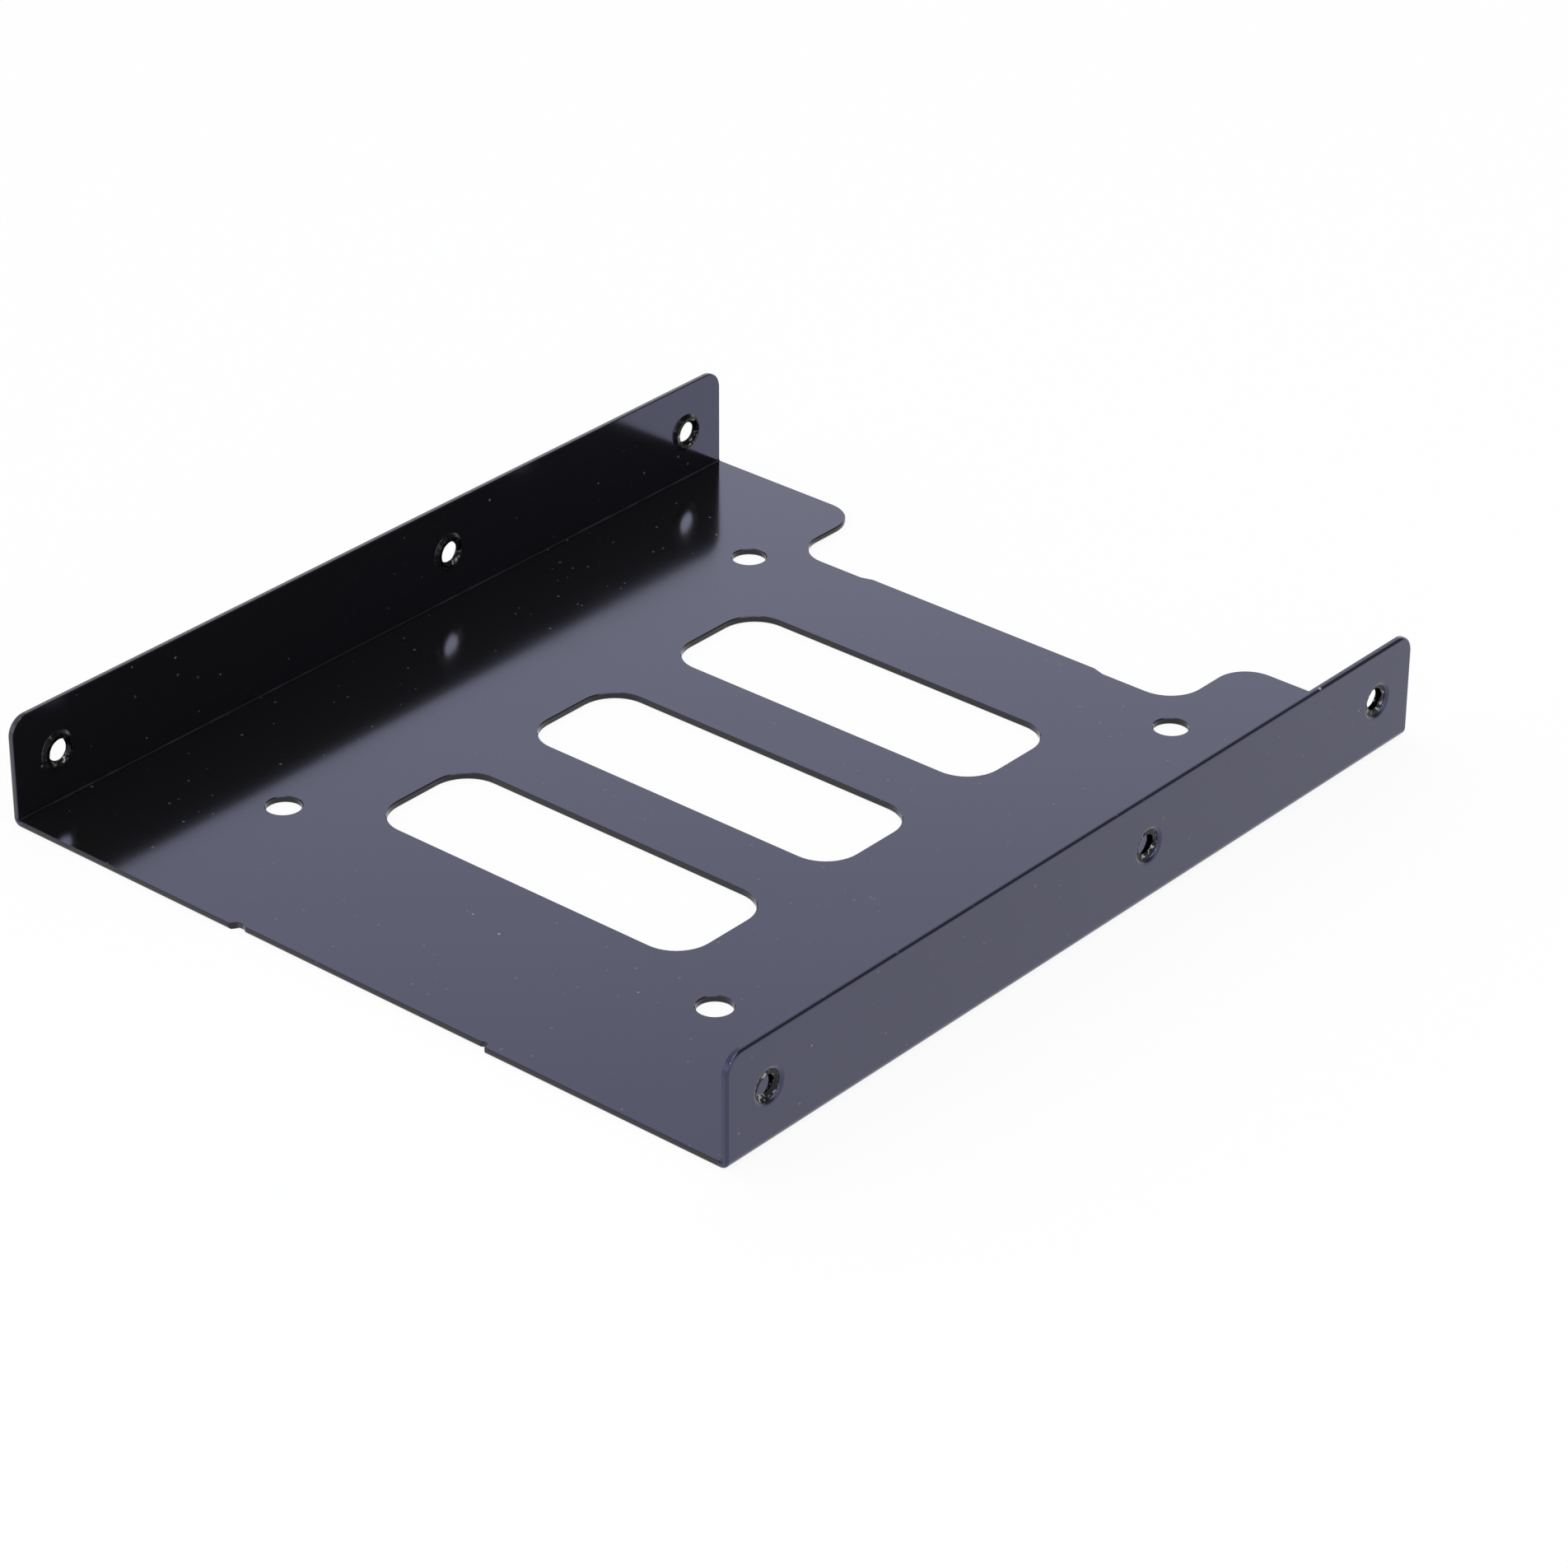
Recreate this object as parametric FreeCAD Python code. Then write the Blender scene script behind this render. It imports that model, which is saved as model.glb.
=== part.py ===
import FreeCAD, Part
import math
import os

V = FreeCAD.Vector

# The folded sheet, in millimetres
overall_width = 101.6
flange_length = 114.3
flange_height = 13.0
sheet = 0.8
bend_inside = 0.2
flange_corner = 2.3
edge_break = 0.1
edge_round = 0.35

# The base between its two ears
cutout_depth = 12.0
ear_inner_x = 28.0
ear_corner = 4.1
ear_fillet = 4.2

# Cut-off marks left in the two ends of the base
front_mark_half = 18.0
front_mark_depth = 0.55
front_nick_depth = 0.22
front_nick_span = 1.9
rear_mark_half = 17.0
rear_mark_height = 0.46
rear_mark_ramp = 1.5

# Plain holes in the base, on the pattern of the smaller drive
base_hole_radius = 2.0
base_hole_span_x = 61.72
base_hole_span_y = 76.6
base_hole_first_y = 21.0

# Air slots in the base
slot_length = 44.5
slot_width = 14.75
slot_corner = 4.3
slot_first_y = 32.8
slot_pitch = 23.9
slot_count = 3

# Drawn and tapped collars in the flanges
collar_first_y = 6.25
collar_second_step = 60.8
collar_rear_margin = 6.15
collar_z = 6.85
collar_bore = 1.75
collar_outer = 2.08
collar_rise = 0.4
collar_foot = 0.25
collar_lip = 0.1
collar_patch = 3.0
draw_radius = 2.27
draw_depth = 0.52

half_width = overall_width / 2
bend_outside = bend_inside + sheet
centre_length = flange_length - cutout_depth


def line(start, end):
    return Part.makeLine(start, end)


def arc(start, middle, end):
    return Part.Arc(start, middle, end).toShape()


def on_circle(centre, radius, degrees, plane):
    """A point on a circle drawn in one of the three main planes."""
    across = radius * math.cos(math.radians(degrees))
    up = radius * math.sin(math.radians(degrees))
    if plane == "XY":
        return centre + V(across, up, 0)
    if plane == "XZ":
        return centre + V(across, 0, up)
    return centre + V(0, across, up)


def round_arc(centre, radius, first, last, plane):
    """An arc from one angle to another in one of the three main planes."""
    middle = (first + last) / 2
    return arc(
        on_circle(centre, radius, first, plane),
        on_circle(centre, radius, middle, plane),
        on_circle(centre, radius, last, plane),
    )


def filled(edges):
    wire = Part.Wire(Part.__sortEdges__(edges))
    return Part.Face(wire)


def folded_channel():
    """The U-shaped section with its two bends, run along the flanges."""
    left = -half_width
    right = half_width
    bend_left = V(left + bend_outside, 0, bend_outside)
    bend_right = V(right - bend_outside, 0, bend_outside)
    top = flange_height
    edges = [
        line(V(left, 0, top), V(left, 0, bend_outside)),
        round_arc(bend_left, bend_outside, 180, 270, "XZ"),
        line(V(left + bend_outside, 0, 0), V(right - bend_outside, 0, 0)),
        round_arc(bend_right, bend_outside, 270, 360, "XZ"),
        line(V(right, 0, bend_outside), V(right, 0, top)),
        line(V(right, 0, top), V(right - sheet, 0, top)),
        line(V(right - sheet, 0, top), V(right - sheet, 0, bend_outside)),
        round_arc(bend_right, bend_inside, 360, 270, "XZ"),
        line(V(right - bend_outside, 0, sheet), V(left + bend_outside, 0, sheet)),
        round_arc(bend_left, bend_inside, 270, 180, "XZ"),
        line(V(left + sheet, 0, bend_outside), V(left + sheet, 0, top)),
        line(V(left + sheet, 0, top), V(left, 0, top)),
    ]
    return filled(edges).extrude(V(0, flange_length, 0))


def front_end():
    """The front end of the blank, left to right, with its shallow cut-off mark."""
    mark = front_mark_half
    depth = front_mark_depth
    deep = front_mark_depth + front_nick_depth
    span = front_nick_span
    corner_left = V(-half_width, 0, 0)
    corner_right = V(half_width, 0, 0)
    step_left = V(-mark, 0, 0)
    nick_left_in = V(-mark + span * 0.2, depth, 0)
    nick_left_low = V(-mark + span * 0.5, deep, 0)
    nick_left_out = V(-mark + span, depth, 0)
    nick_right_in = V(mark - span * 0.3, depth, 0)
    nick_right_low = V(mark + span * 0.1, deep, 0)
    nick_right_out = V(mark + span * 0.35, depth, 0)
    step_right_bend = V(mark + span * 0.25, depth * 0.35, 0)
    step_right = V(mark + span * 0.7, 0, 0)
    return [
        line(corner_left, step_left),
        line(step_left, nick_left_in),
        arc(nick_left_in, nick_left_low, nick_left_out),
        line(nick_left_out, nick_right_in),
        arc(nick_right_in, nick_right_low, nick_right_out),
        arc(nick_right_out, step_right_bend, step_right),
        line(step_right, corner_right),
    ]


def rear_end():
    """The rear end of the blank, right to left: ear, cut-out with its low mark, ear."""
    end = flange_length
    inner = ear_inner_x
    mark = rear_mark_half
    half_ramp = rear_mark_ramp / 2
    centre = centre_length
    raised = centre_length + rear_mark_height
    corner_right = V(inner + ear_corner, end - ear_corner, 0)
    corner_left = V(-inner - ear_corner, end - ear_corner, 0)
    fillet_right = V(inner - ear_fillet, centre + ear_fillet, 0)
    fillet_left = V(-inner + ear_fillet, centre + ear_fillet, 0)
    return [
        line(V(half_width, end, 0), V(inner + ear_corner, end, 0)),
        round_arc(corner_right, ear_corner, 90, 180, "XY"),
        line(V(inner, end - ear_corner, 0), V(inner, centre + ear_fillet, 0)),
        round_arc(fillet_right, ear_fillet, 360, 270, "XY"),
        line(V(inner - ear_fillet, centre, 0), V(mark + half_ramp, centre, 0)),
        line(V(mark + half_ramp, centre, 0), V(mark - half_ramp, raised, 0)),
        line(V(mark - half_ramp, raised, 0), V(-mark + half_ramp, raised, 0)),
        line(V(-mark + half_ramp, raised, 0), V(-mark - half_ramp, centre, 0)),
        line(V(-mark - half_ramp, centre, 0), V(-inner + ear_fillet, centre, 0)),
        round_arc(fillet_left, ear_fillet, 270, 180, "XY"),
        line(V(-inner, centre + ear_fillet, 0), V(-inner, end - ear_corner, 0)),
        round_arc(corner_left, ear_corner, 0, 90, "XY"),
        line(V(-inner - ear_corner, end, 0), V(-half_width, end, 0)),
    ]


def blank_in_plan():
    """The outline of the sheet seen from above, as a tall block that trims the channel."""
    sides = [
        line(V(half_width, 0, 0), V(half_width, flange_length, 0)),
        line(V(-half_width, flange_length, 0), V(-half_width, 0, 0)),
    ]
    face = filled(front_end() + rear_end() + sides)
    return face.extrude(V(0, 0, flange_height))


def flanges_in_profile():
    """The side view with its two rounded top corners, as a block that trims the channel."""
    left = -half_width
    top = flange_height
    end = flange_length
    radius = flange_corner
    front = V(left, radius, top - radius)
    rear = V(left, end - radius, top - radius)
    edges = [
        line(V(left, 0, 0), V(left, end, 0)),
        line(V(left, end, 0), V(left, end, top - radius)),
        round_arc(rear, radius, 0, 90, "YZ"),
        line(V(left, end - radius, top), V(left, radius, top)),
        round_arc(front, radius, 90, 180, "YZ"),
        line(V(left, 0, top - radius), V(left, 0, 0)),
    ]
    return filled(edges).extrude(V(overall_width, 0, 0))


def base_holes():
    """Four plain round holes on the corners of a rectangle."""
    holes = []
    for side in (-1, 1):
        for row in (0, 1):
            x = side * base_hole_span_x / 2
            y = base_hole_first_y + row * base_hole_span_y
            holes.append(Part.makeCylinder(base_hole_radius, sheet * 3, V(x, y, -sheet)))
    return holes


def air_slot(y):
    """One long window with rounded corners, its length across the base."""
    x = slot_length / 2
    w = slot_width / 2
    block = Part.makeBox(slot_length, slot_width, sheet * 3, V(-x, y - w, -sheet))
    upright = []
    for edge in block.Edges:
        ends = edge.Vertexes
        if abs(ends[0].Z - ends[-1].Z) > sheet:
            upright.append(edge)
    return block.makeFillet(slot_corner, upright)


def air_slots():
    slots = []
    for index in range(slot_count):
        slots.append(air_slot(slot_first_y + index * slot_pitch))
    return slots


def curve(start, pull, end):
    """A smooth curve that leaves its start and reaches its end pointing at the pull point."""
    bend = Part.BezierCurve()
    bend.setPoles([start, pull, end])
    return bend.toShape()


def drawn_collar():
    """A drawn collar turned about X from its half section, its mouth on the plane X = 0."""
    # The sheet rolls in from the outer face, then a short wall stands on the inner face.
    tip = sheet + collar_rise
    lip = collar_lip
    outer_edge = V(0, 0, collar_patch)
    roll_start = V(0, 0, draw_radius)
    roll_pull = V(0, 0, collar_bore)
    bore_start = V(draw_depth, 0, collar_bore)
    bore_end = V(tip - lip, 0, collar_bore)
    lip_in = V(tip, 0, collar_bore + lip)
    lip_out = V(tip, 0, collar_outer - lip)
    wall_end = V(tip - lip, 0, collar_outer)
    wall_start = V(sheet + collar_foot, 0, collar_outer)
    foot_end = V(sheet, 0, collar_outer + collar_foot)
    inner_edge = V(sheet, 0, collar_patch)
    edges = [
        line(outer_edge, roll_start),
        curve(roll_start, roll_pull, bore_start),
        line(bore_start, bore_end),
        line(bore_end, lip_in),
        line(lip_in, lip_out),
        line(lip_out, wall_end),
        line(wall_end, wall_start),
        line(wall_start, foot_end),
        line(foot_end, inner_edge),
        line(inner_edge, outer_edge),
    ]
    return filled(edges).revolve(V(0, 0, 0), V(1, 0, 0), 360)


def collar_places():
    """Where each collar goes: its point on the outer face and the side it is on."""
    front = collar_first_y
    middle = collar_first_y + collar_second_step
    rear = flange_length - collar_rear_margin
    places = []
    for side in (-1, 1):
        for y in (front, middle, rear):
            places.append((side, V(side * half_width, y, collar_z)))
    return places


def collar_blanks():
    """Round plugs taken out of the flanges, where the drawn collars go in."""
    plugs = []
    for side, place in collar_places():
        start = place - V(side * sheet * 2, 0, 0)
        plugs.append(Part.makeCylinder(collar_patch, sheet * 3, start, V(side, 0, 0)))
    return plugs


def collars():
    rings = []
    for side, place in collar_places():
        ring = drawn_collar()
        if side > 0:
            ring = ring.mirror(V(0, 0, 0), V(1, 0, 0))
        ring.translate(place)
        rings.append(ring)
    return rings


def crosses_sheet(edge):
    """True for a short edge that runs straight through the sheet, from face to face."""
    return edge.Length < sheet * 1.05


def is_sharp(edge, body):
    """True where the two faces that meet in an edge stand square to each other."""
    faces = body.ancestorsOfType(edge, Part.Face)
    if len(faces) < 2:
        return False
    point = edge.valueAt((edge.FirstParameter + edge.LastParameter) / 2)
    normals = []
    for face in faces[:2]:
        u, v = face.Surface.parameter(point)
        normals.append(face.Surface.normal(u, v))
    return abs(normals[0].dot(normals[1])) < 0.5


def is_sharp_rim(edge, body):
    return not crosses_sheet(edge) and is_sharp(edge, body)


def is_on_outer_skin(edge):
    """True for an edge on the outer side of the folded sheet."""
    point = edge.valueAt((edge.FirstParameter + edge.LastParameter) / 2)
    flat = half_width - bend_outside
    if abs(point.x) > flat and point.z < bend_outside:
        bend_axis = V(math.copysign(flat, point.x), point.y, bend_outside)
        return point.distanceToPoint(bend_axis) > bend_outside - sheet / 2
    return abs(point.x) > half_width - sheet / 2 or point.z < sheet / 2


def rolled_over(body):
    """The body with the outer rim of its outline rolled over, as the press leaves it."""
    rims = []
    for edge in body.Edges:
        if is_sharp_rim(edge, body) and is_on_outer_skin(edge):
            rims.append(edge)
    return body.makeFillet(edge_round, rims)


def softened(body):
    """The body with the sharp rims of its outline, holes and slots broken a little."""
    rims = []
    for edge in body.Edges:
        if is_sharp_rim(edge, body):
            rims.append(edge)
    return body.makeChamfer(edge_break, rims)


def bracket():
    sheet_body = folded_channel().common(blank_in_plan())
    sheet_body = rolled_over(sheet_body.common(flanges_in_profile()))
    sheet_body = softened(sheet_body.cut(base_holes() + air_slots()))
    sheet_body = sheet_body.cut(collar_blanks())
    body = sheet_body.fuse(collars()).removeSplitter()
    body.translate(V(0, -flange_length / 2, 0))
    return body


def main():
    body = bracket()
    os.makedirs("parts", exist_ok=True)
    body.exportStep("parts/bracket.step")
    print("solids", len(body.Solids), "valid", body.isValid(), "volume", round(body.Volume, 1))
    print("box", body.BoundBox)


main()
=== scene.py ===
"""Dresses the folded drive bay adapter bracket: gloss black paint, tapped collars, dust and studio.

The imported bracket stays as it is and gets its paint. The fine thread turns of the six drawn
collars are modelled here, inside the plain bores of the solid. All lengths are in metres.
"""

import logging
import math
from dataclasses import dataclass, field
from enum import Enum

import bmesh
import bpy
from mathutils import Euler, Matrix, Vector


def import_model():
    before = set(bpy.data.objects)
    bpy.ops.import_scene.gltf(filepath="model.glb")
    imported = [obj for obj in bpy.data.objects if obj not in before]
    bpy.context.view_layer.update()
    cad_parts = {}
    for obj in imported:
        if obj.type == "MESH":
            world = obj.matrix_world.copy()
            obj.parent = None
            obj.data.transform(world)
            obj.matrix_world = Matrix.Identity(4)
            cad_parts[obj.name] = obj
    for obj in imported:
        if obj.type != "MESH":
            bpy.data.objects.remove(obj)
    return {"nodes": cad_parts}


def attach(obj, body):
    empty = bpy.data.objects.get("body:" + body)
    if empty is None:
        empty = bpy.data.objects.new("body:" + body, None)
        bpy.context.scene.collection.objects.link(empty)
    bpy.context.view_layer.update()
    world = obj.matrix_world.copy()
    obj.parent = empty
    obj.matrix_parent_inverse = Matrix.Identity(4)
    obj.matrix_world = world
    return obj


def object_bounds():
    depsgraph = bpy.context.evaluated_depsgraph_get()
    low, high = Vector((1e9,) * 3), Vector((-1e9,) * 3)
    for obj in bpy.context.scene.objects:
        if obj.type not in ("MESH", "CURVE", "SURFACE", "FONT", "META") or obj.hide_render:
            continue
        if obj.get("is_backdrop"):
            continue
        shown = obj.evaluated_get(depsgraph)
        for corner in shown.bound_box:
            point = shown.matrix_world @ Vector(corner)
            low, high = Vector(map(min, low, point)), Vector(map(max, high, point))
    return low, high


logging.basicConfig(level=logging.INFO, format="%(message)s")
log = logging.getLogger("bracket")

MM = 0.001
BODY = "root"
NODE = "bracket"

# A colour, a place, a direction or three angles.
Triple = tuple[float, float, float]


class Flange(Enum):
    """The two upright flanges, each with the turn that brings a collar to its side."""

    LEFT = 0.0
    RIGHT = math.pi

    @property
    def sign(self) -> float:
        """Gives the flange's side along X: -1 or 1."""
        return -1.0 if self is Flange.LEFT else 1.0


class Socket(Enum):
    """The kinds of socket that the node groups use."""

    VALUE = "NodeSocketFloat"
    POINT = "NodeSocketVector"


# ---------------------------------------------------------------- node helpers


def rgba(colour: Triple) -> tuple[float, float, float, float]:
    """Gives a colour with full alpha."""
    return (*colour, 1.0)


@dataclass
class Wiring:
    """A small helper that adds and joins nodes in one node tree."""

    tree: bpy.types.NodeTree

    def node(self, kind: str, label: str = "", **settings: object) -> bpy.types.Node:
        """Adds a node.

        Args:
            kind: the node's type name.
            label: what the node is for.
            settings: properties to set on the node.

        Returns:
            The new node.
        """
        made = self.tree.nodes.new(kind)
        made.label = label
        for name, value in settings.items():
            setattr(made, name, value)
        return made

    def join(self, start: object, end: bpy.types.NodeSocket) -> None:
        """Links an output to an input, or sets the input to a plain value.

        Args:
            start: the output socket, a number or a colour.
            end: the input socket.
        """
        if isinstance(start, bpy.types.NodeSocket):
            self.tree.links.new(start, end)
        else:
            end.default_value = start

    def maths(self, what: str, first: object, second: object = 0.0) -> bpy.types.NodeSocket:
        """Adds a Math node.

        Args:
            what: the operation's name.
            first: a socket or a number.
            second: a socket or a number.

        Returns:
            The result's socket.
        """
        made = self.node("ShaderNodeMath", operation=what)
        self.join(first, made.inputs[0])
        self.join(second, made.inputs[1])
        return made.outputs[0]

    def all_of(self, *masks: object) -> bpy.types.NodeSocket:
        """Multiplies masks, so that the result is there only where all of them are.

        Args:
            masks: sockets or numbers.

        Returns:
            The product's socket.
        """
        product = masks[0]
        for mask in masks[1:]:
            product = self.maths("MULTIPLY", product, mask)
        return product

    def span(self, share: object, low: float, high: float) -> bpy.types.NodeSocket:
        """Turns a share from 0 to 1 into a value between two ends.

        Args:
            share: the socket of the share.
            low: the value at 0.
            high: the value at 1.

        Returns:
            The value's socket.
        """
        made = self.node("ShaderNodeMath", operation="MULTIPLY_ADD")
        for place, value in enumerate((share, high - low, low)):
            self.join(value, made.inputs[place])
        return made.outputs[0]

    def fade(self, value: object, low: float, high: float) -> bpy.types.NodeSocket:
        """Maps a value to 0 at one end and 1 at the other, with a smooth change between.

        Args:
            value: the socket to map.
            low: where the result is 0.
            high: where the result is 1.

        Returns:
            The result's socket.
        """
        made = self.node("ShaderNodeMapRange", interpolation_type="SMOOTHSTEP")
        self.join(value, made.inputs["Value"])
        made.inputs["From Min"].default_value = low
        made.inputs["From Max"].default_value = high
        return made.outputs["Result"]

    def noise(self, label: str, point: bpy.types.NodeSocket, scale: object,
              detail: float) -> bpy.types.NodeSocket:
        """Adds a soft noise.

        Args:
            label: what the noise stands for.
            point: where it is looked up.
            scale: its features per metre, a socket or a number.
            detail: how many finer layers it has.

        Returns:
            The socket with its value.
        """
        made = self.node("ShaderNodeTexNoise", label)
        self.join(point, made.inputs["Vector"])
        self.join(scale, made.inputs["Scale"])
        made.inputs["Detail"].default_value = detail
        return made.outputs["Fac"]

    def blend(self, label: str, share: object, first: object,
              second: object) -> bpy.types.NodeSocket:
        """Adds a blend of two colours.

        Args:
            label: what is blended.
            share: the socket with the second colour's share.
            first: the first colour, a socket or four numbers.
            second: the second colour, a socket or four numbers.

        Returns:
            The socket with the blended colour.
        """
        made = self.node("ShaderNodeMix", label, data_type="RGBA")
        for name, value in (("Factor", share), ("A", first), ("B", second)):
            self.join(value, made.inputs[name])
        return made.outputs["Result"]

    def bump(self, label: str, height: bpy.types.NodeSocket,
             depth: float) -> bpy.types.NodeSocket:
        """Adds a bump at full strength.

        Args:
            label: what the bump stands for.
            height: the socket with the height.
            depth: how deep a height of 1 is.

        Returns:
            The socket with the bumped normal.
        """
        made = self.node("ShaderNodeBump", label)
        made.inputs["Strength"].default_value = 1.0
        made.inputs["Distance"].default_value = depth
        self.join(height, made.inputs["Height"])
        return made.outputs["Normal"]

    def effect(self, label: str, tree: bpy.types.NodeTree, point: bpy.types.NodeSocket,
               values: dict[str, float] | None = None) -> bpy.types.Node:
        """Adds one of the shared effect groups.

        Args:
            label: what the effect is for.
            tree: the group.
            point: the point on the piece.
            values: numbers for some of its inputs, by name.

        Returns:
            The group's node.
        """
        made = self.node("ShaderNodeGroup", label, node_tree=tree)
        self.join(point, made.inputs["Point"])
        for name, value in (values or {}).items():
            made.inputs[name].default_value = value
        return made


@dataclass
class GroupMaker:
    """Makes one shader node group with named inputs, and outputs that are masks or heights."""

    name: str
    points: tuple[str, ...]
    values: dict[str, float]
    outputs: tuple[str, ...]
    wiring: Wiring = field(init=False)
    start: bpy.types.Node = field(init=False)
    end: bpy.types.Node = field(init=False)

    def __post_init__(self) -> None:
        """Makes the empty group and its sockets."""
        tree = bpy.data.node_groups.new(self.name, "ShaderNodeTree")
        for name in self.points:
            tree.interface.new_socket(name, in_out="INPUT", socket_type=Socket.POINT.value)
        for name, value in self.values.items():
            made = tree.interface.new_socket(name, in_out="INPUT", socket_type=Socket.VALUE.value)
            made.default_value = value
        for name in self.outputs:
            tree.interface.new_socket(name, in_out="OUTPUT", socket_type=Socket.VALUE.value)
        self.wiring = Wiring(tree)
        self.start = self.wiring.node("NodeGroupInput")
        self.end = self.wiring.node("NodeGroupOutput")


def dust_group() -> bpy.types.NodeTree:
    """Makes the group that scatters tiny round specks: one dot in some cells of a pattern.

    Returns:
        The group, whose Mask is 0 beside the specks and up to 1 on the brightest.
    """
    group = GroupMaker(
        "dust_specks",
        ("Point",),
        {"Cells per metre": 300.0, "Dot size": 0.06, "Share": 0.2},
        ("Mask",),
    )
    w, given = group.wiring, group.start.outputs
    cells = w.node("ShaderNodeTexVoronoi", "speck cells", voronoi_dimensions="3D", feature="F1")
    w.join(given["Point"], cells.inputs["Vector"])
    w.join(given["Cells per metre"], cells.inputs["Scale"])
    pick = w.node("ShaderNodeSeparateColor", "which cells hold one")
    w.join(cells.outputs["Color"], pick.inputs["Color"])
    chosen = w.maths("LESS_THAN", pick.outputs["Red"], given["Share"])
    size = w.maths("MULTIPLY", given["Dot size"], pick.outputs["Green"])
    dot = w.maths("LESS_THAN", cells.outputs["Distance"], size)
    w.join(w.all_of(chosen, dot, pick.outputs["Blue"]), group.end.inputs["Mask"])
    return w.tree


def smear_group() -> bpy.types.NodeTree:
    """Makes the group for long faint wipe marks and soft patches in the gloss.

    Returns:
        The group, whose Mask runs from 0 to 1.
    """
    wipe_slant = math.radians(24.0)
    wipe_stretch = (0.06, 1.0, 1.0)
    group = GroupMaker(
        "wipe_smears",
        ("Point",),
        {"Patches per metre": 25.0, "Streaks per metre": 120.0},
        ("Mask",),
    )
    w, given = group.wiring, group.start.outputs
    patches = w.noise("soft patches", given["Point"], given["Patches per metre"], detail=3.0)
    lay = w.node("ShaderNodeMapping", "wiped at a slant")
    lay.inputs["Rotation"].default_value = (0.0, 0.0, wipe_slant)
    lay.inputs["Scale"].default_value = wipe_stretch
    w.join(given["Point"], lay.inputs["Vector"])
    streaks = w.noise("wipe streaks", lay.outputs["Vector"], given["Streaks per metre"],
                      detail=4.0)
    w.join(w.all_of(w.fade(patches, low=0.4, high=0.7), streaks), group.end.inputs["Mask"])
    return w.tree


def paint_skin_group() -> bpy.types.NodeTree:
    """Makes the group for the fine skin of sprayed paint: low waves with a finer grain.

    Returns:
        The group, whose Height feeds a Bump node.
    """
    group = GroupMaker(
        "paint_skin",
        ("Point",),
        {"Waves per metre": 450.0, "Grain per metre": 4200.0, "Grain share": 0.25},
        ("Height",),
    )
    w, given = group.wiring, group.start.outputs
    waves = w.noise("low waves", given["Point"], given["Waves per metre"], detail=1.0)
    grain = w.noise("fine grain", given["Point"], given["Grain per metre"], detail=2.0)
    fine = w.maths("MULTIPLY", grain, given["Grain share"])
    w.join(w.maths("ADD", waves, fine), group.end.inputs["Height"])
    return w.tree


def edge_wear_group() -> bpy.types.NodeTree:
    """Makes the group for the thin paint in the folds and on sheared walls, and for less gloss at
    one rim's rear end.

    Returns:
        The group, with a mask for the folds and the drawn collars, one for the base's sheared
        walls and the rear end of the right flange's rim, where less gloss darkens its
        reflection, and one for those walls, the collars and the left flange's rim.
    """
    group = GroupMaker(
        "edge_wear",
        ("Point", "Normal"),
        {
            "Fold across": 49.9 * MM,
            "Fold height": 0.9 * MM,
            "Fold reach": 0.3 * MM,
            "Flange inside": 49.97 * MM,
            "Collars above": 2.0 * MM,
            "Base below": 0.78 * MM,
            "Base within": 49.6 * MM,
            "Flanges above": 1.2 * MM,
            # The rear end of the right flange's top rim gets less gloss, which darkens its
            # reflection there.
            "Dimmed rim above": 12.7 * MM,
            "Dimmed rim behind": 40.5 * MM,
            "Dimmed rim share": 0.45,
        },
        ("Fold", "Sheared", "Rim"),
    )
    w, given = group.wiring, group.start.outputs
    parts = w.node("ShaderNodeSeparateXYZ", "where the point is")
    w.join(given["Point"], parts.inputs[0])
    across = w.maths("ABSOLUTE", parts.outputs["X"])
    right = w.maths("GREATER_THAN", parts.outputs["X"], 0.0)
    left = w.maths("LESS_THAN", parts.outputs["X"], 0.0)
    along, up = parts.outputs["Y"], parts.outputs["Z"]
    faces = w.node("ShaderNodeSeparateXYZ", "which way the face looks")
    w.join(given["Normal"], faces.inputs[0])

    aside = w.maths("SUBTRACT", across, given["Fold across"])
    above = w.maths("SUBTRACT", up, given["Fold height"])
    square = w.maths("ADD", w.maths("MULTIPLY", aside, aside), w.maths("MULTIPLY", above, above))
    near = w.maths("LESS_THAN", w.maths("SQRT", square), given["Fold reach"])
    spots = w.noise("paint gathered in the fold", given["Point"], scale=330.0, detail=3.0)
    patchy = w.span(w.fade(spots, low=0.66, high=0.46), low=0.45, high=1.0)

    stands_in = w.maths("LESS_THAN", across, given["Flange inside"])
    collar = w.all_of(stands_in, w.maths("GREATER_THAN", up, given["Collars above"]))
    flecks = w.noise("drawn metal", given["Point"], scale=1700.0, detail=2.0)
    uneven = w.span(w.fade(flecks, low=0.36, high=0.5), low=0.65, high=1.3)
    fold = w.maths("MAXIMUM", w.all_of(near, patchy), w.all_of(collar, uneven))
    w.join(fold, group.end.inputs["Fold"])

    wall = w.fade(w.maths("ABSOLUTE", faces.outputs["Z"]), low=0.85, high=0.5)
    low = w.maths("LESS_THAN", up, given["Base below"])
    walls = w.all_of(wall, low, w.maths("LESS_THAN", across, given["Base within"]))
    # Less gloss at the rear end of the right flange's top rim, which darkens its reflection there.
    rear = w.maths("GREATER_THAN", along, given["Dimmed rim behind"])
    top = w.maths("GREATER_THAN", up, given["Dimmed rim above"])
    wear_and_dimming = w.all_of(rear, top, right, given["Dimmed rim share"])
    w.join(w.maths("MAXIMUM", walls, wear_and_dimming), group.end.inputs["Sheared"])

    edge_on = w.fade(w.maths("ABSOLUTE", faces.outputs["X"]), low=0.85, high=0.4)
    upright = w.maths("GREATER_THAN", up, given["Flanges above"])
    rims = w.maths("MAXIMUM", walls, w.all_of(edge_on, upright, left))
    w.join(w.maths("MAXIMUM", rims, collar), group.end.inputs["Rim"])
    return w.tree


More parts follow.
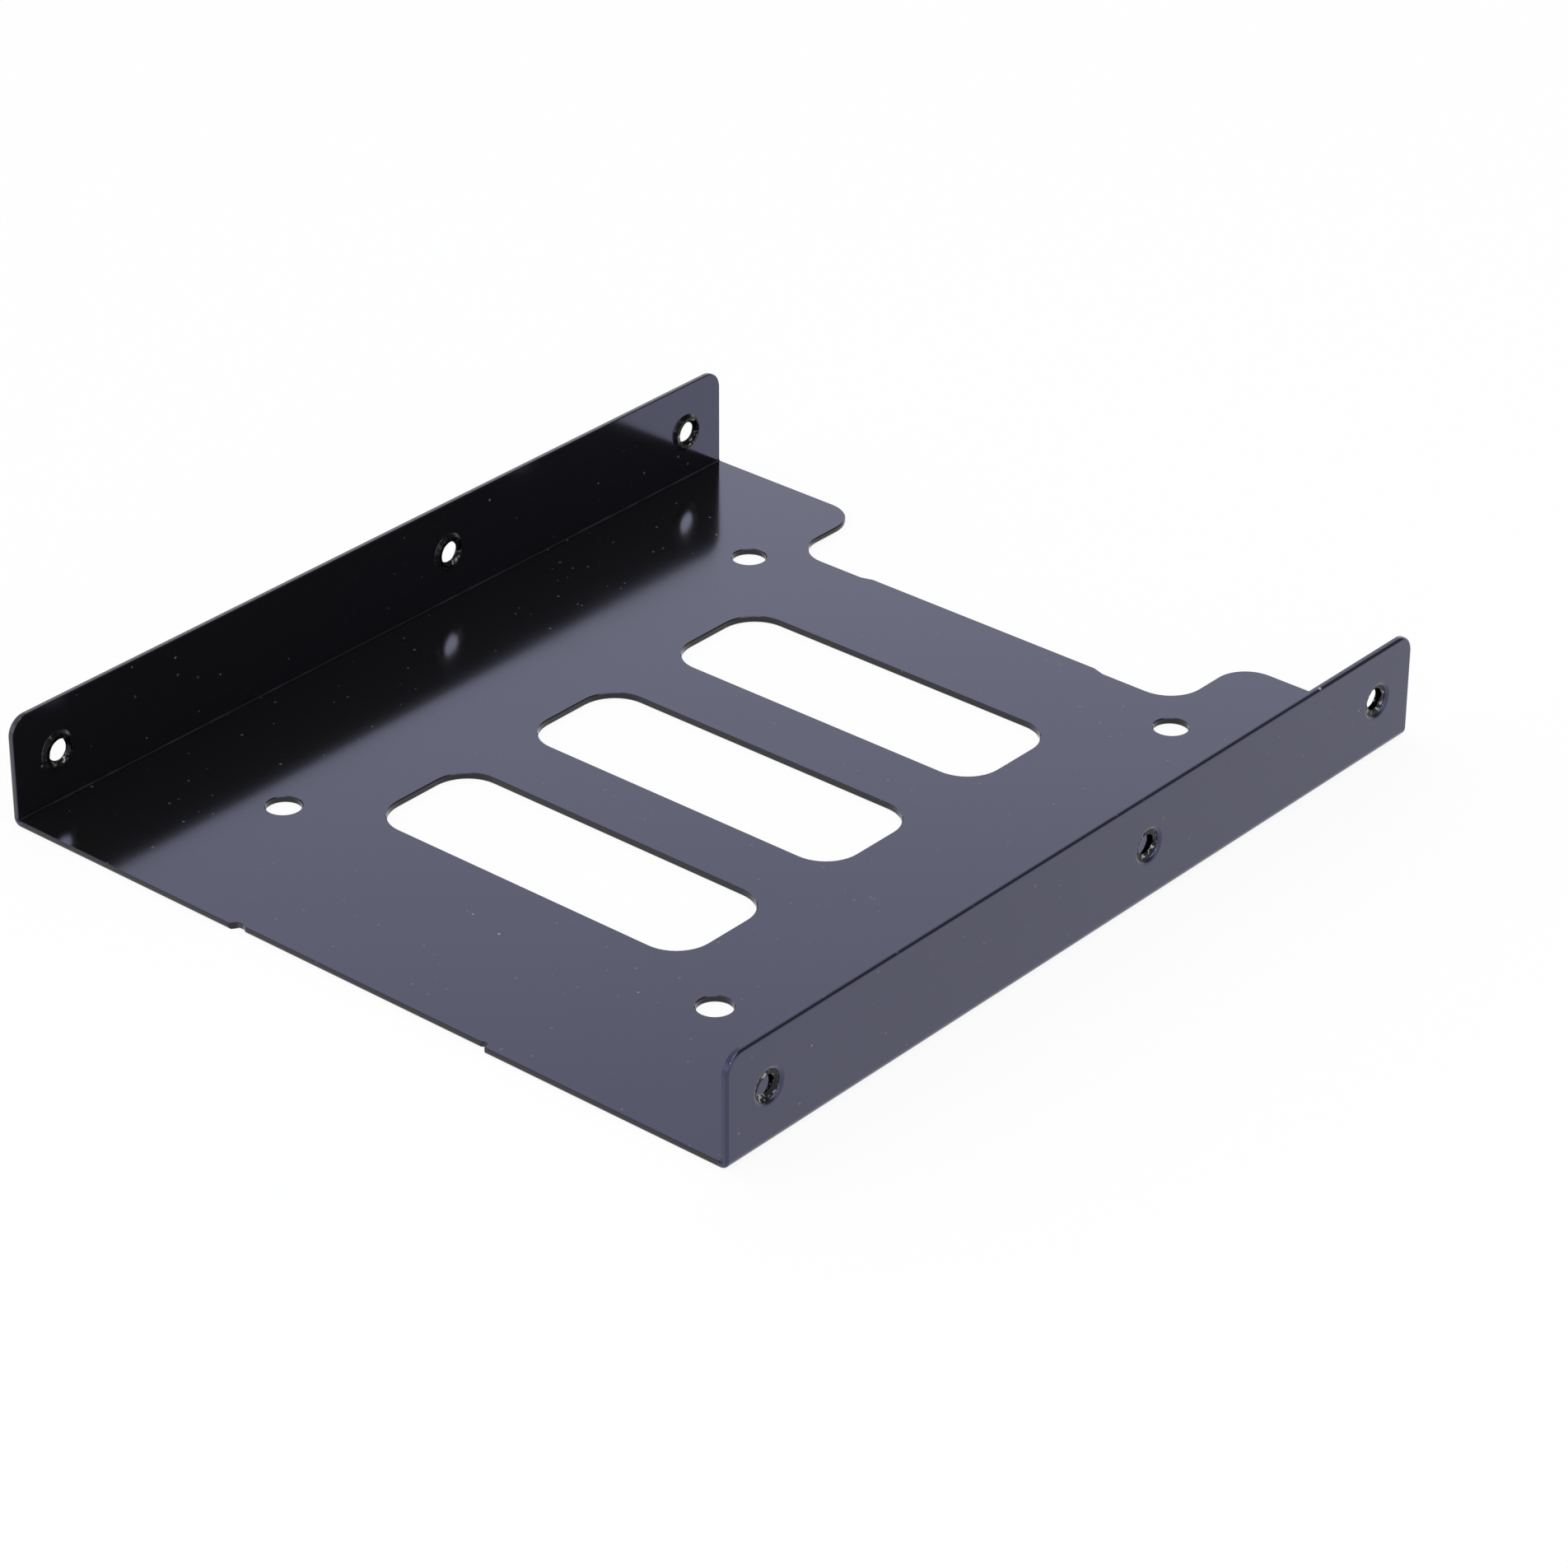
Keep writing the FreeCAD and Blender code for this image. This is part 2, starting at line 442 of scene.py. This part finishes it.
@dataclass
class Effects:
    """The shared effects, each built once."""

    dust: bpy.types.NodeTree = field(default_factory=dust_group)
    edges: bpy.types.NodeTree = field(default_factory=edge_wear_group)
    smears: bpy.types.NodeTree = field(default_factory=smear_group)
    skin: bpy.types.NodeTree = field(default_factory=paint_skin_group)


# ---------------------------------------------------------------- finishes


@dataclass(frozen=True)
class Mark:
    """A small spot where the paint is chipped or a fleck sits, in millimetres."""

    place: Triple
    reach: float
    share: float


@dataclass(frozen=True)
class GlossBlackPaint:
    """Sprayed gloss black paint over steel sheet."""

    name: str = "gloss_black_paint"
    colour: Triple = (0.005, 0.0048, 0.0029)
    # The blue of this reflection tint is painted light: it stands in for bluish light around the
    # bracket.
    tint: Triple = (0.55, 0.56, 1.0)
    rim_tint: Triple = (0.62, 0.62, 0.67)
    index: float = 1.9
    rough_low: float = 0.12
    rough_high: float = 0.17
    rough_specks: float = 0.7
    skin_depth: float = 0.00035 * MM
    dust_colour: Triple = (0.11, 0.11, 0.11)
    dust_cells: float = 640.0
    dust_share: float = 0.85
    dust_size: float = 0.12
    gloss: float = 0.5
    fold_loss: float = 0.34
    sheared_loss: float = 0.24
    mark_colour: Triple = (0.30, 0.29, 0.27)
    mark_core: float = 0.5
    marks: tuple[Mark, ...] = (
        Mark((50.58, 40.03, 13.0), 0.27, 1.0),
        Mark((50.2, 57.15, 8.56), 0.4, 0.7),
        Mark((50.8, -44.55, 8.5), 0.16, 0.6),
        Mark((50.8, -46.33, 2.61), 0.13, 0.6),
        Mark((50.8, -55.43, 3.65), 0.13, 0.6),
        Mark((50.8, 47.52, 7.13), 0.14, 0.6),
        Mark((4.75, -40.28, 0.8), 0.19, 1.0),
        Mark((0.0, -39.21, 0.8), 0.16, 0.7),
        Mark((23.24, -39.31, 0.8), 0.16, 0.7),
    )

    def material(self, effects: Effects) -> bpy.types.Material:
        """Makes the paint.

        Args:
            effects: the shared effect groups.

        Returns:
            The material.
        """
        made = bpy.data.materials.new(self.name)
        made.use_nodes = True
        w = Wiring(made.node_tree)
        shader = made.node_tree.nodes["Principled BSDF"]
        where = w.node("ShaderNodeTexCoord").outputs
        place = where["Object"]

        dust = w.effect("dust", effects.dust, place, {
            "Cells per metre": self.dust_cells,
            "Dot size": self.dust_size,
            "Share": self.dust_share,
        }).outputs["Mask"]
        marks = self._marks(w, place)
        tone = w.blend("paint and dust", dust, rgba(self.colour), rgba(self.dust_colour))
        wear_and_dimming = w.blend("small marks", marks, tone, rgba(self.mark_colour))
        w.join(wear_and_dimming, shader.inputs["Base Color"])

        smears = w.effect("smears", effects.smears, place).outputs["Mask"]
        polish = w.span(smears, self.rough_low, self.rough_high)
        specks = w.maths("MULTIPLY", w.maths("MAXIMUM", dust, marks), self.rough_specks)
        w.join(w.maths("MAXIMUM", polish, specks), shader.inputs["Roughness"])

        edges = w.effect("folds and sheared edges", effects.edges, place)
        w.join(where["Normal"], edges.inputs["Normal"])
        # Less gloss in the folds, on the collars, on the sheared walls and at the rear end of the
        # right flange's top rim.
        lost = w.maths("ADD", w.maths("MULTIPLY", edges.outputs["Fold"], self.fold_loss),
                       w.maths("MULTIPLY", edges.outputs["Sheared"], self.sheared_loss))
        w.join(w.maths("SUBTRACT", self.gloss, lost), shader.inputs["Specular IOR Level"])
        # Painted blue light: the reflections are tinted blue on the faces, and a less blue grey on
        # the sheared walls, the collars and the left flange's rim.
        sheen = w.blend("sheen on faces and rims", edges.outputs["Rim"], rgba(self.tint),
                        rgba(self.rim_tint))
        w.join(sheen, shader.inputs["Specular Tint"])
        w.join(self.index, shader.inputs["IOR"])

        skin = w.effect("paint skin", effects.skin, place).outputs["Height"]
        w.join(w.bump("paint skin", skin, self.skin_depth), shader.inputs["Normal"])
        return made

    def _marks(self, w: Wiring, place: bpy.types.NodeSocket) -> bpy.types.NodeSocket:
        """Adds the small marks one by one.

        Args:
            w: the paint's tree.
            place: the point on the bracket.

        Returns:
            The socket with their mask.
        """
        every: object = 0.0
        for mark in self.marks:
            far = w.node("ShaderNodeVectorMath", "distance to a mark", operation="DISTANCE")
            w.join(place, far.inputs[0])
            far.inputs[1].default_value = Vector(mark.place) * MM
            reach = mark.reach * MM
            spot = w.fade(far.outputs["Value"], low=reach, high=self.mark_core * reach)
            every = w.maths("MAXIMUM", every, w.maths("MULTIPLY", spot, mark.share))
        return every


@dataclass(frozen=True)
class CutThreadSteel:
    """The tapped thread: dark oiled steel with a thin film of overspray."""

    name: str = "cut_thread_steel"
    colour: Triple = (0.34, 0.34, 0.33)
    dark: Triple = (0.022, 0.022, 0.023)
    rough_low: float = 0.1
    rough_high: float = 0.3
    film_spots: float = 1900.0
    tool_marks: float = 5000.0
    tool_depth: float = 0.009 * MM

    def material(self, effects: Effects) -> bpy.types.Material:
        """Makes the thread's finish.

        Args:
            effects: the shared effect groups.

        Returns:
            The material.
        """
        made = bpy.data.materials.new(self.name)
        made.use_nodes = True
        w = Wiring(made.node_tree)
        shader = made.node_tree.nodes["Principled BSDF"]
        place = w.node("ShaderNodeTexCoord").outputs["Object"]
        film = w.noise("overspray film", place, self.film_spots, detail=3.0)
        tone = w.blend("steel and film", w.fade(film, low=0.33, high=0.46), rgba(self.colour),
                       rgba(self.dark))
        w.join(tone, shader.inputs["Base Color"])
        w.join(w.span(film, self.rough_low, self.rough_high), shader.inputs["Roughness"])
        cuts = w.effect("tool marks", effects.skin, place, {"Waves per metre": self.tool_marks})
        bumped = w.bump("tool marks", cuts.outputs["Height"], self.tool_depth)
        w.join(bumped, shader.inputs["Normal"])
        w.join(1.0, shader.inputs["Metallic"])
        return made


# ---------------------------------------------------------------- the bracket


@dataclass
class FoldedSheet:
    """The bracket's own solid, which keeps its shape and gets its paint."""

    paint: GlossBlackPaint = field(default_factory=GlossBlackPaint)

    def dress(self, node: bpy.types.Object, effects: Effects) -> None:
        """Paints the solid.

        Args:
            node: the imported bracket.
            effects: the shared effect groups.
        """
        node.data.materials.clear()
        node.data.materials.append(self.paint.material(effects))


@dataclass
class CollarThread:
    """The thread turns in one flange's three drawn collars.

    A turn is a ridge with sloping sides that stands in from the bore's wall. It is swept along
    a right-hand screw line, cut off at both ends and widened towards the collar's mouth.
    """

    flange: Flange
    half_width: float = 50.8 * MM
    height: float = 6.85 * MM
    places: Triple = (-50.9 * MM, 9.9 * MM, 51.0 * MM)
    pitch: float = 0.794 * MM
    crest: float = 1.25 * MM
    root: float = 1.84 * MM
    crest_width: float = 0.12 * MM
    root_width: float = 0.72 * MM
    first: float = 0.36 * MM
    last: float = 1.17 * MM
    full_from: float = 0.45 * MM
    full_to: float = 0.85 * MM
    mouth_slope: float = 2.0
    end_slope: float = 0.7
    start_step: float = 0.9
    steps_per_turn: int = 48
    turns: int = 3
    smooth_below: float = math.radians(32.0)

    def build(self, finish: bpy.types.Material) -> bpy.types.Object:
        """Makes the flange's thread turns as one piece.

        Args:
            finish: the material of the thread.

        Returns:
            The new object.
        """
        bm = bmesh.new()
        for index, along in enumerate(self.places):
            self._turn_one(bm, along, index * self.start_step)
        bmesh.ops.recalc_face_normals(bm, faces=bm.faces)
        for face in bm.faces:
            face.smooth = True
        name = f"{self.flange.name.lower()}_threads"
        mesh = bpy.data.meshes.new(name)
        bm.to_mesh(mesh)
        bm.free()
        mesh.set_sharp_from_angle(angle=self.smooth_below)
        mesh.materials.append(finish)
        made = bpy.data.objects.new(name, mesh)
        bpy.context.scene.collection.objects.link(made)
        return made

    def _turn_one(self, bm: bmesh.types.BMesh, along: float, start: float) -> None:
        """Adds the thread of one collar.

        Args:
            bm: the mesh that takes it.
            along: the collar's place along the flange.
            start: the angle at which the screw line starts.
        """
        one = bmesh.new()
        half_crest, half_root = self.crest_width / 2, self.root_width / 2
        low = self.first - self.pitch
        section = [
            one.verts.new((low - half_root, 0.0, self.root)),
            one.verts.new((low - half_crest, 0.0, self.crest)),
            one.verts.new((low + half_crest, 0.0, self.crest)),
            one.verts.new((low + half_root, 0.0, self.root)),
        ]
        face = one.faces.new(section)
        bmesh.ops.spin(
            one,
            geom=[face, *face.edges, *face.verts],
            cent=(0.0, 0.0, 0.0),
            axis=(1.0, 0.0, 0.0),
            dvec=(self.pitch / self.steps_per_turn, 0.0, 0.0),
            angle=math.tau * self.turns,
            steps=self.steps_per_turn * self.turns,
            use_duplicate=False,
        )
        self._trim(one, self.last, 1.0)
        self._trim(one, self.first, -1.0)
        self._widen(one)
        turn = Matrix.Rotation(start, 4, "X")
        side = Matrix.Rotation(self.flange.value, 4, "Z")
        place = Matrix.Translation((self.flange.sign * self.half_width, along, self.height))
        one.transform(place @ side @ turn)
        kept = bpy.data.meshes.new("one_thread")
        one.to_mesh(kept)
        one.free()
        bm.from_mesh(kept)
        bpy.data.meshes.remove(kept)

    def _trim(self, one: bmesh.types.BMesh, depth: float, way: float) -> None:
        """Cuts the ridge off flat at a depth and closes the cut.

        Args:
            one: the ridge.
            depth: how deep in the bore the cut lies.
            way: 1 to clear what is deeper, -1 to clear what is shallower.
        """
        cut = bmesh.ops.bisect_plane(
            one,
            geom=[*one.verts, *one.edges, *one.faces],
            plane_co=(depth, 0.0, 0.0),
            plane_no=(way, 0.0, 0.0),
            clear_outer=True,
        )
        edges = [g for g in cut["geom_cut"] if isinstance(g, bmesh.types.BMEdge)]
        bmesh.ops.edgenet_fill(one, edges=edges)

    def _widen(self, one: bmesh.types.BMesh) -> None:
        """Widens the crest towards the mouth and the end, where the turns run out.

        Args:
            one: the ridge.
        """
        for vert in one.verts:
            mouth = (self.full_from - vert.co.x) * self.mouth_slope
            end = (vert.co.x - self.full_to) * self.end_slope
            least = self.crest + max(0.0, mouth, end)
            radius = math.hypot(vert.co.y, vert.co.z)
            if radius < least:
                grown = min(least, self.root) / radius
                vert.co.y *= grown
                vert.co.z *= grown


# ---------------------------------------------------------------- the studio


@dataclass(frozen=True)
class Lamp:
    """A square soft lamp that faces the bracket; its glow is 1 where its face is white."""

    name: str
    way: Triple
    far: float
    side: float
    glow: float
    colour: Triple = (1.0, 1.0, 1.0)

    def build(self) -> bpy.types.Object:
        """Makes the lamp, turned towards the bracket's middle.

        Returns:
            The lamp.
        """
        data = bpy.data.lights.new(self.name, "AREA")
        data.shape = "SQUARE"
        data.size = self.side
        data.energy = self.glow * math.pi * self.side * self.side
        data.color = self.colour
        lamp = bpy.data.objects.new(self.name, data)
        way = Vector(self.way).normalized()
        lamp.location = way * self.far
        lamp.rotation_euler = way.to_track_quat("Z", "Y").to_euler()
        bpy.context.scene.collection.objects.link(lamp)
        return lamp


@dataclass
class Studio:
    """A pale floor, two lamps, a soft world with one dim side, and the camera."""

    floor_side: float = 6.0
    floor_cells: int = 4
    floor_height: float = -0.05 * MM
    floor_colour: Triple = (0.9, 0.9, 0.9)
    plain_share: float = 0.90
    plain_colour: Triple = (1.0, 1.0, 1.0)
    world_colour: Triple = (0.95, 0.96, 1.0)
    low_glow: float = 1.49
    high_glow: float = 0.87
    glow_heights: tuple[float, float] = (0.40, 0.60)
    dim_side: Triple = (0.62, 0.63, 0.46)
    dim_share: float = 0.83
    dim_reach: tuple[float, float] = (0.70, 0.94)
    lamps: tuple[Lamp, ...] = (
        Lamp("top_lamp", (0.35, -0.2, 1.0), far=1.6, side=1.2, glow=1.3),
        Lamp("small_lamp", (0.55, -0.64, 0.58), far=1.2, side=0.08, glow=50.0),
    )
    camera_place: Triple = (0.34378, -0.39291, 0.30042)
    camera_turn: Triple = (60.0342, -0.2487, 40.5656)
    camera_lens: float = 126.86
    camera_sensor: float = 36.0
    camera_clip: tuple[float, float] = (0.01, 20.0)

    def build_floor(self) -> bpy.types.Object:
        """Makes the floor just under the bracket.

        Returns:
            The floor.
        """
        bm = bmesh.new()
        level = Matrix.Translation((0.0, 0.0, self.floor_height))
        bmesh.ops.create_grid(bm, x_segments=self.floor_cells, y_segments=self.floor_cells,
                              size=self.floor_side / 2, matrix=level)
        mesh = bpy.data.meshes.new("studio_floor")
        bm.to_mesh(mesh)
        bm.free()
        mesh.materials.append(self._floor_finish())
        floor = bpy.data.objects.new("studio_floor", mesh)
        bpy.context.scene.collection.objects.link(floor)
        return floor

    def _floor_finish(self) -> bpy.types.Material:
        """Makes the floor's finish: matt with a plain white look, and open from its lower side.

        Returns:
            The material.
        """
        material = bpy.data.materials.new("pale_floor")
        material.use_nodes = True
        nodes = material.node_tree.nodes
        nodes.remove(nodes["Principled BSDF"])
        w = Wiring(material.node_tree)
        matt = w.node("ShaderNodeBsdfDiffuse", "matt floor")
        w.join(rgba(self.floor_colour), matt.inputs["Color"])
        plain = w.node("ShaderNodeEmission", "plain white")
        w.join(rgba(self.plain_colour), plain.inputs["Color"])
        mix = w.node("ShaderNodeMixShader", "matt and plain")
        w.join(w.maths("MULTIPLY", self._seen(w), self.plain_share), mix.inputs[0])
        w.join(matt.outputs[0], mix.inputs[1])
        w.join(plain.outputs[0], mix.inputs[2])
        clear = w.node("ShaderNodeBsdfTransparent", "open from its lower side")
        side = w.node("ShaderNodeMixShader", "upper and lower side")
        w.join(w.node("ShaderNodeNewGeometry").outputs["Backfacing"], side.inputs[0])
        w.join(mix.outputs[0], side.inputs[1])
        w.join(clear.outputs[0], side.inputs[2])
        w.join(side.outputs[0], nodes["Material Output"].inputs["Surface"])
        return material

    def _seen(self, w: Wiring) -> bpy.types.NodeSocket:
        """Gives 1 for rays that show the background straight, in gloss or through glass.

        Args:
            w: the tree to wire.

        Returns:
            The socket with that value.
        """
        path = w.node("ShaderNodeLightPath")
        mirror = w.maths("MAXIMUM", path.outputs["Is Camera Ray"], path.outputs["Is Glossy Ray"])
        return w.maths("MAXIMUM", mirror, path.outputs["Is Transmission Ray"])

    def build_world(self) -> None:
        """Makes the soft world: brighter towards the horizon, with one dim side."""
        world = bpy.data.worlds.new("soft_world")
        world.use_nodes = True
        bpy.context.scene.world = world
        w = Wiring(world.node_tree)
        back = world.node_tree.nodes["Background"]
        w.join(rgba(self.world_colour), back.inputs["Color"])
        way = w.node("ShaderNodeTexCoord").outputs["Generated"]
        parts = w.node("ShaderNodeSeparateXYZ")
        w.join(way, parts.inputs[0])
        glow = w.node("ShaderNodeMapRange", "brighter towards the horizon")
        w.join(parts.outputs["Z"], glow.inputs["Value"])
        ends = {"From Min": self.glow_heights[0], "From Max": self.glow_heights[1],
                "To Min": self.low_glow, "To Max": self.high_glow}
        for name, value in ends.items():
            w.join(value, glow.inputs[name])
        near = w.node("ShaderNodeVectorMath", "nearness to the dim side", operation="DOT_PRODUCT")
        w.join(way, near.inputs[0])
        near.inputs[1].default_value = Vector(self.dim_side).normalized()
        dimmed = w.span(w.fade(near.outputs["Value"], *self.dim_reach), 1.0, 1.0 - self.dim_share)
        w.join(w.maths("MULTIPLY", glow.outputs["Result"], dimmed), back.inputs["Strength"])

    def build_camera(self) -> bpy.types.Object:
        """Makes the camera at the photograph's viewing angle.

        Returns:
            The camera.
        """
        data = bpy.data.cameras.new("camera")
        data.lens = self.camera_lens
        data.sensor_width = self.camera_sensor
        data.clip_start, data.clip_end = self.camera_clip
        camera = bpy.data.objects.new("camera", data)
        camera.location = self.camera_place
        camera.rotation_euler = Euler([math.radians(value) for value in self.camera_turn], "XYZ")
        bpy.context.scene.collection.objects.link(camera)
        bpy.context.scene.camera = camera
        return camera

    def build(self) -> bpy.types.Object:
        """Makes the whole studio.

        Returns:
            The floor.
        """
        floor = self.build_floor()
        self.build_world()
        for lamp in self.lamps:
            lamp.build()
        self.build_camera()
        bpy.context.scene.view_settings.view_transform = "Standard"
        return floor


# ---------------------------------------------------------------- all together


def corners() -> list[list[float]]:
    """Gives the shown model's lowest and highest corner as plain lists."""
    return [list(corner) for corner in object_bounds()]


def clear_default_scene() -> None:
    """Removes what Blender's own start scene holds."""
    for name in ("Cube", "Light", "Camera"):
        start = bpy.data.objects.get(name)
        if start is not None:
            bpy.data.objects.remove(start)


def main(frame: dict, cad_box: list[list[float]]) -> None:
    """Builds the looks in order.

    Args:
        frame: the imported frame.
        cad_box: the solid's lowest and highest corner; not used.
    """
    effects = Effects()
    FoldedSheet().dress(frame["nodes"][NODE], effects)
    log.info("painted %s", NODE)
    steel = CutThreadSteel().material(effects)
    threads = (
        CollarThread(Flange.LEFT),
        CollarThread(Flange.RIGHT, crest=1.15 * MM, first=0.28 * MM, full_from=0.34 * MM,
                     last=1.185 * MM, end_slope=0.0, mouth_slope=1.2),
    )
    for thread in threads:
        piece = thread.build(steel)
        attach(piece, BODY)
        log.info("built %s, %d faces", piece.name, len(piece.data.polygons))
    Studio().build()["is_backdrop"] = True
    log.info("built the studio")


if __name__ == "__main__":
    clear_default_scene()
    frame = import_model()
    main(frame, corners())
